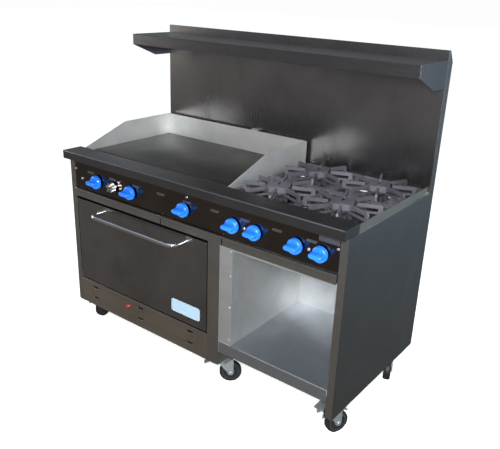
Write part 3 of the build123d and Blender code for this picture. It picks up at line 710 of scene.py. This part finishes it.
# The tread's outline on one side: how far inside the wheel's radius and its half width, in millimetres.
TREAD_OUTLINE = ((12.0, 1.5), (5.0, 0.0), (1.5, 3.0), (0.0, 8.0))
# The hub's outline on one side. Its rim is measured like the tread, and its middle by radius and by how far
# it stands out from the wheel's half width.
HUB_RIM = ((11.5, 2.0), (15.0, 1.0), (18.0, 5.0))
HUB_MIDDLE = ((20.0, -6.0), (17.0, -1.0), (12.0, 1.2), (5.1, 1.4))


@dataclass
class Caster:
    """A swivel caster: forks and brake are packed, the wheel is turned here."""

    name: str
    wheel_r: float = 50 * MM
    half_width: float = 16 * MM
    sides: int = 72
    fork_edge: float = SHEET_EDGE
    brake_edge: float = 0.6 * MM

    def build(self, frame: dict) -> None:
        """Turns the wheel and dresses the fork.

        Args:
            frame: The loaded frame.
        """
        roll = joint(frame, f"caster_{self.name}_roll")
        body = "caster_wheel_" + self.name
        place = facing(Vector(roll["pos_m"]), Vector(roll["axis"]), Vector((0, 0, 1)))
        r, w = self.wheel_r, self.half_width
        side = [(r - inset * MM, w - depth * MM) for inset, depth in TREAD_OUTLINE]
        bench = Bench()
        bench.turn(place, [(radius, -height) for radius, height in side] + side[::-1], self.sides)
        bench.piece(body + "_tread", POLYURETHANE, body, "caster_rubber", [body])
        rim = [(r - inset * MM, w - depth * MM) for inset, depth in HUB_RIM]
        middle = [(radius * MM, w + out * MM) for radius, out in HUB_MIDDLE]
        mirrored = [(radius, -height) for radius, height in reversed(rim + middle)]
        hub = Bench()
        hub.turn(place, mirrored + [(rim[0][0], 0.0)] + rim + middle, self.sides)
        hub.piece(body + "_hub", GREY_NYLON, body, "caster_rubber")
        dress(frame, ["caster_fork_" + self.name], BRIGHT_ZINC, self.fork_edge)
        brake = "caster_brake_" + self.name
        if brake in frame["nodes"]:
            dress(frame, [brake], BRIGHT_ZINC, self.brake_edge)
        log.info("caster %s dressed", self.name)


@dataclass
class RunningGear:
    """All the casters with their top plates."""

    plate_edge: float = SHEET_EDGE

    def build(self, frame: dict) -> None:
        """Dresses every caster.

        Args:
            frame: The loaded frame.
        """
        dress(frame, ["caster_plates"], BRIGHT_ZINC, self.plate_edge)
        for body in frame["bodies"]:
            if body.startswith("caster_wheel_"):
                Caster(body.removeprefix("caster_wheel_")).build(frame)


# ---- Studio --------------------------------------------------------------------------------------
@dataclass
class SoftLight:
    """A soft rectangular light aimed at a point."""

    name: str
    place: tuple[float, float, float]
    aim: tuple[float, float, float]
    width: float
    height: float
    watts: float
    colour: str = "#ffffff"

    def build(self) -> None:
        """Hangs the light."""
        data = bpy.data.lights.new(self.name, "AREA")
        data.shape = "RECTANGLE"
        data.size = self.width
        data.size_y = self.height
        data.energy = self.watts
        data.color = linear(self.colour)[:3]
        lamp = bpy.data.objects.new(self.name, data)
        lamp.location = self.place
        lamp.rotation_euler = (Vector(self.aim) - Vector(self.place)).to_track_quat("-Z", "Y").to_euler()
        bpy.context.scene.collection.objects.link(lamp)


@dataclass
class Studio:
    """The pale floor, the dim surroundings, the soft lights and the camera."""

    camera_place: tuple[float, float, float] = (1.6696, -2.1197, 1.6937)
    yaw: float = 36.98
    pitch: float = -21.21
    roll: float = 2.14
    lens: float = 44.7
    sensor: float = 36.0
    farthest: float = 100.0
    floor_reach: float = 30.0

    def build(self) -> None:
        """Sets up the studio."""
        bpy.context.scene.view_settings.view_transform = "Standard"
        self.floor()
        self.surroundings()
        lights = (
            SoftLight("overhead", (0.3, -0.2, 3.4), (0.2, 0.1, 0.9), 3.2, 1.6, 13),
            SoftLight("from_the_left", (-3.4, -1.0, 1.6), (0.2, 0.0, 0.7), 1.2, 1.2, 30, "#fff8ee"),
            SoftLight("from_the_right", (3.4, 2.0, 1.0), (0.8, 0.2, 0.7), 2.4, 1.6, 24, "#d3e8f3"),
            SoftLight("by_the_camera", (1.75, -2.3, 1.95), (0.2, 0.1, 0.7), 0.5, 0.4, 135),
        )
        for light in lights:
            light.build()
        self.camera()

    def floor(self) -> None:
        """Lays the floor. Mirrors don't see it, as a polished range in a dim room would not."""
        data = bpy.data.meshes.new("floor")
        e = self.floor_reach
        data.from_pydata([(-e, -e, 0), (e, -e, 0), (e, e, 0), (-e, e, 0)], [], [(0, 1, 2, 3)])
        floor = bpy.data.objects.new("floor", data)
        data.materials.append(PALE_FLOOR.build())
        floor.visible_glossy = False
        bpy.context.scene.collection.objects.link(floor)

    def surroundings(self) -> None:
        """Paints the world: bright to the eye and dim to the mirrors."""
        world = bpy.data.worlds.new("studio")
        bpy.context.scene.world = world
        world.use_nodes = True
        tree = world.node_tree
        tree.nodes.clear()
        bright = add_node(tree, "Background", Color=linear("#fdfdfd"), Strength=1.0).outputs[0]
        ways = add_node(tree, "SeparateXYZ", Vector=add_node(tree, "TexCoord").outputs["Generated"]).outputs
        share = add_node(tree, "MapRange", Value=ways[2], From_Min=-0.6, From_Max=0.6).outputs[0]
        front = self.shades(tree, share, ("#6b6662", "#74716f", "#5f646b", "#a9abae"))
        right = self.shades(tree, share, ("#5f5a53", "#6f7d86", "#9fb2bd", "#c4d2da"))
        turned = add_node(tree, "MapRange", Value=ways[0], From_Min=-0.1, From_Max=0.4).outputs[0]
        room = add_node(tree, "Mix", data_type="RGBA", in_0=turned, in_6=front, in_7=right).outputs[2]
        dim = add_node(tree, "Background", Color=room, Strength=1.0).outputs[0]
        seen = add_node(tree, "LightPath").outputs["Is Camera Ray"]
        both = add_node(tree, "MixShader", in_0=seen, in_1=dim, in_2=bright).outputs[0]
        add_node(tree, "OutputWorld", Surface=both)

    @staticmethod
    def shades(
        tree: bpy.types.NodeTree, share: bpy.types.NodeSocket, codes: Sequence[str]
    ) -> bpy.types.NodeSocket:
        """Runs through a row of colours from low to high.

        Args:
            tree: The node tree.
            share: Nought at the first colour and one at the last.
            codes: The sRGB hex colours.

        Returns:
            The colour's socket.
        """
        ramp = add_node(tree, "ValToRGB", Fac=share)
        marks = ramp.color_ramp.elements
        for _ in codes[2:]:
            marks.new(0.5)
        for i, code in enumerate(codes):
            marks[i].position = i / (len(codes) - 1)
            marks[i].color = linear(code)
        return ramp.outputs[0]

    def camera(self) -> None:
        """Sets the camera up."""
        data = bpy.data.cameras.new("camera")
        data.lens = self.lens
        data.sensor_width = self.sensor
        data.clip_end = self.farthest
        camera = bpy.data.objects.new("camera", data)
        yaw, pitch, roll = (math.radians(a) for a in (self.yaw, self.pitch, self.roll))
        ahead = Vector((-math.sin(yaw) * math.cos(pitch), math.cos(yaw) * math.cos(pitch), math.sin(pitch)))
        right = Vector((math.cos(yaw), math.sin(yaw), 0))
        up = right.cross(ahead)
        tilted_right = right * math.cos(roll) + up * math.sin(roll)
        tilted_up = up * math.cos(roll) - right * math.sin(roll)
        turn = Matrix((tilted_right, tilted_up, -ahead)).transposed().to_4x4()
        camera.matrix_world = Matrix.Translation(self.camera_place) @ turn
        bpy.context.scene.collection.objects.link(camera)
        bpy.context.scene.camera = camera


def main() -> None:
    """Builds the range and its studio in order."""
    logging.basicConfig(level=logging.INFO, format="%(message)s")
    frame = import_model()
    for part in (SheetBody(), Cabinet(), Oven(), Cooktop(), Controls(), RunningGear()):
        part.build(frame)
        log.info("%s done", type(part).__name__)
    Studio().build()


if __name__ == "__main__":
    main()
